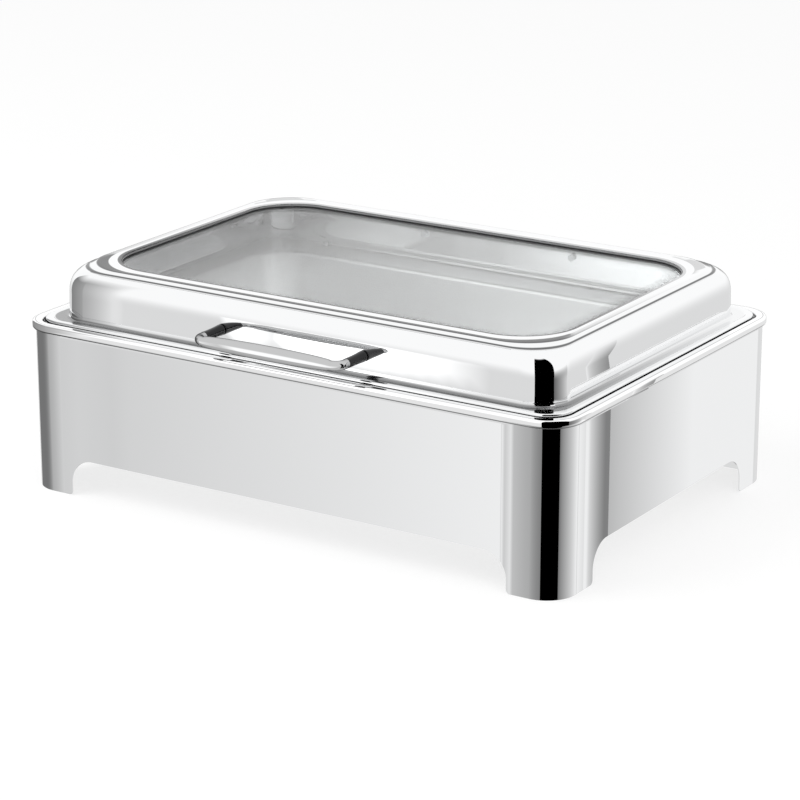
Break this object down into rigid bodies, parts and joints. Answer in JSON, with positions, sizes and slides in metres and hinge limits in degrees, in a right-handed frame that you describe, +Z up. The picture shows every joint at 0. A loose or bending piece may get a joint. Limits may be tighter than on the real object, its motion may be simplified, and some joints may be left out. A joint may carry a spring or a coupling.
{
  "type": "electric chafing dish with hinged lid",
  "caption": "Countertop food warmer: a polished steel stand with corner feet holds a heated water pan and a food pan under a hinged lid with a glass window and front handle",
  "frame": {"origin": "on the floor, under the middle of the bounding box", "axes": "+X right along the front, +Y back towards the hinges and controls, +Z up"},
  "size_m": [0.597, 0.458, 0.2181],
  "materials": {
    "polished_steel": "mirror-polished stainless steel",
    "satin_steel": "satin stainless steel",
    "plated_steel": "zinc-plated steel",
    "cast_aluminium": "plain cast aluminium",
    "bare_copper": "bare copper",
    "clear_glass": "clear tempered glass",
    "dark_rubber": "smooth dark silicone rubber",
    "pale_rubber": "translucent pale silicone rubber",
    "black_plastic": "moulded black plastic",
    "red_plastic": "glossy translucent red plastic",
    "brown_wire": "brown insulation",
    "blue_wire": "blue insulation",
    "earth_wire": "green insulation"
  },
  "bodies": {
    "base": {"stand": "polished_steel", "top_rim": "polished_steel", "water_pan": "satin_steel", "food_pan": "satin_steel", "hinge_bracket_left": "satin_steel", "hinge_bracket_right": "satin_steel", "heating_element": "satin_steel", "element_clamp_left": "satin_steel", "element_clamp_right": "satin_steel", "heat_shield": "satin_steel", "bulb_strap": "satin_steel", "control_panel": "satin_steel", "control_box": "satin_steel", "hinge_pin_left": "plated_steel", "hinge_pin_right": "plated_steel", "bracket_screw_1": "plated_steel", "bracket_screw_2": "plated_steel", "bracket_screw_3": "plated_steel", "bracket_screw_4": "plated_steel", "panel_screw_1": "plated_steel", "panel_screw_2": "plated_steel", "panel_screw_3": "plated_steel", "panel_screw_4": "plated_steel", "thermostat_nut": "plated_steel", "earth_stud": "plated_steel", "heater_plate": "cast_aluminium", "thermostat_bulb": "bare_copper", "sensor_tube": "bare_copper", "cable_grommet": "dark_rubber", "power_inlet": "black_plastic", "switch_housing": "black_plastic", "thermostat": "black_plastic", "thermal_cutout": "black_plastic", "pilot_lamp": "red_plastic", "wire_switch": "brown_wire", "wire_thermostat": "brown_wire", "wire_heater": "brown_wire", "wire_neutral": "blue_wire", "wire_cutout": "blue_wire", "wire_earth": "earth_wire"},
    "lid": {"lid_shell": "polished_steel", "lid_glass": "clear_glass", "glass_gasket": "dark_rubber", "glass_retainer": "satin_steel", "handle_bar": "polished_steel", "handle_collar_left": "polished_steel", "handle_collar_right": "polished_steel", "handle_screw_left": "plated_steel", "handle_screw_right": "plated_steel", "lid_bumper_1": "pale_rubber", "lid_bumper_2": "pale_rubber", "lid_bumper_3": "pale_rubber", "lid_bumper_4": "pale_rubber", "hinge_leaf_left": "satin_steel", "hinge_leaf_right": "satin_steel", "hinge_bolt_left": "plated_steel", "hinge_bolt_right": "plated_steel"},
    "knob": {"thermostat_knob": "black_plastic", "thermostat_shaft": "plated_steel"},
    "rocker": {"power_rocker": "red_plastic"}
  },
  "joints": [
    {"name": "lid_hinge", "type": "hinge", "parent": "base", "child": "lid", "pos_m": [0, 0.2107, 0.1779], "axis": [-1, 0, 0], "range_deg": [0, 90]},
    {"name": "thermostat_turn", "type": "hinge", "parent": "base", "child": "knob", "pos_m": [0.057, 0.2157, 0.084], "axis": [0, -1, 0], "range_deg": [0, 270]},
    {"name": "rocker_tilt", "type": "hinge", "parent": "base", "child": "rocker", "pos_m": [-0.02, 0.208, 0.084], "axis": [1, 0, 0], "range_deg": [0, 18]}
  ]
}
